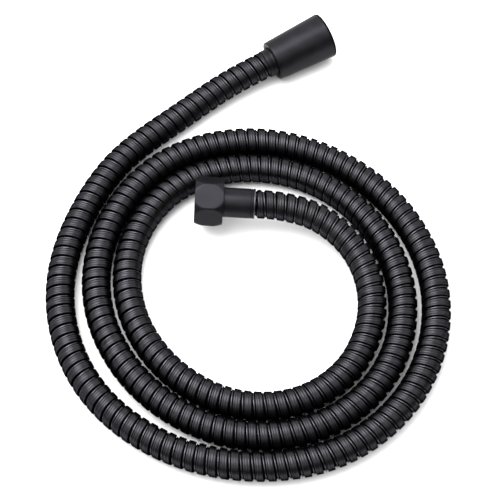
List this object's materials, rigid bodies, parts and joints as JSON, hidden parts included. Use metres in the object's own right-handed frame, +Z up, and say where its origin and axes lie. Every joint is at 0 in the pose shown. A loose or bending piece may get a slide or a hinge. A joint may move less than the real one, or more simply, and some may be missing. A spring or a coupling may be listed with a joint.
{
  "type": "shower hose",
  "caption": "Black strip-wound metal shower hose lying coiled, with a rubber inner tube, a hexagon union nut at the supply end and a conical union nut on a swivel at the handset end.",
  "frame": {"origin": "on the surface that the coiled hose lies on, under the middle of its bounding box", "axes": "+Y from the coil towards the handset end, the longest way across; +Z up, the shortest"},
  "size_m": [0.2021, 0.2568, 0.0315],
  "materials": {
    "hose_strip": "satin black coating on interlocked steel strip",
    "fitting_black": "matt black coating on brass",
    "bare_brass": "turned brass",
    "seal_rubber": "matt black EPDM rubber",
    "tube_rubber": "smooth EPDM tube",
    "ring_plastic": "natural acetal",
    "spring_steel": "plain stainless steel"
  },
  "bodies": {
    "hose": {"outer_hose": "hose_strip", "inner_tube": "tube_rubber", "supply_core": "bare_brass", "supply_washer": "seal_rubber", "supply_crimp_ring": "spring_steel", "supply_ferrule": "fitting_black", "handset_swivel_tail": "bare_brass", "handset_spring_clip": "spring_steel", "handset_bearing_ring": "ring_plastic", "handset_crimp_ring": "spring_steel", "handset_ferrule": "fitting_black"},
    "supply_nut_carrier": {"supply_slip_ring": "ring_plastic"},
    "supply_nut": {"supply_nut": "fitting_black"},
    "handset_stem": {"handset_swivel_stem": "bare_brass", "handset_o_ring_front": "seal_rubber", "handset_o_ring_rear": "seal_rubber", "handset_washer": "seal_rubber"},
    "handset_nut_carrier": {"handset_slip_ring": "ring_plastic"},
    "handset_nut": {"handset_nut": "fitting_black"}
  },
  "joints": [
    {"name": "supply_nut_slide", "type": "slide", "parent": "hose", "child": "supply_nut_carrier", "axis": [0.9978, -0.0401, -0.0523], "range_m": [0, 0.014]},
    {"name": "supply_nut_turn", "type": "hinge", "parent": "supply_nut_carrier", "child": "supply_nut", "pos_m": [-0.0271, 0.0138, 0.01925], "axis": [-0.9978, 0.0401, 0.0523], "continuous": true},
    {"name": "handset_swivel", "type": "hinge", "parent": "hose", "child": "handset_stem", "pos_m": [0.0419, 0.11765, 0.0125], "axis": [0.8784, 0.4749, 0.0541], "continuous": true},
    {"name": "handset_nut_slide", "type": "slide", "parent": "hose", "child": "handset_nut_carrier", "axis": [-0.8784, -0.4749, -0.0541], "range_m": [0, 0.01]},
    {"name": "handset_nut_turn", "type": "hinge", "parent": "handset_nut_carrier", "child": "handset_nut", "pos_m": [0.0419, 0.11765, 0.0125], "axis": [0.8784, 0.4749, 0.0541], "continuous": true}
  ]
}
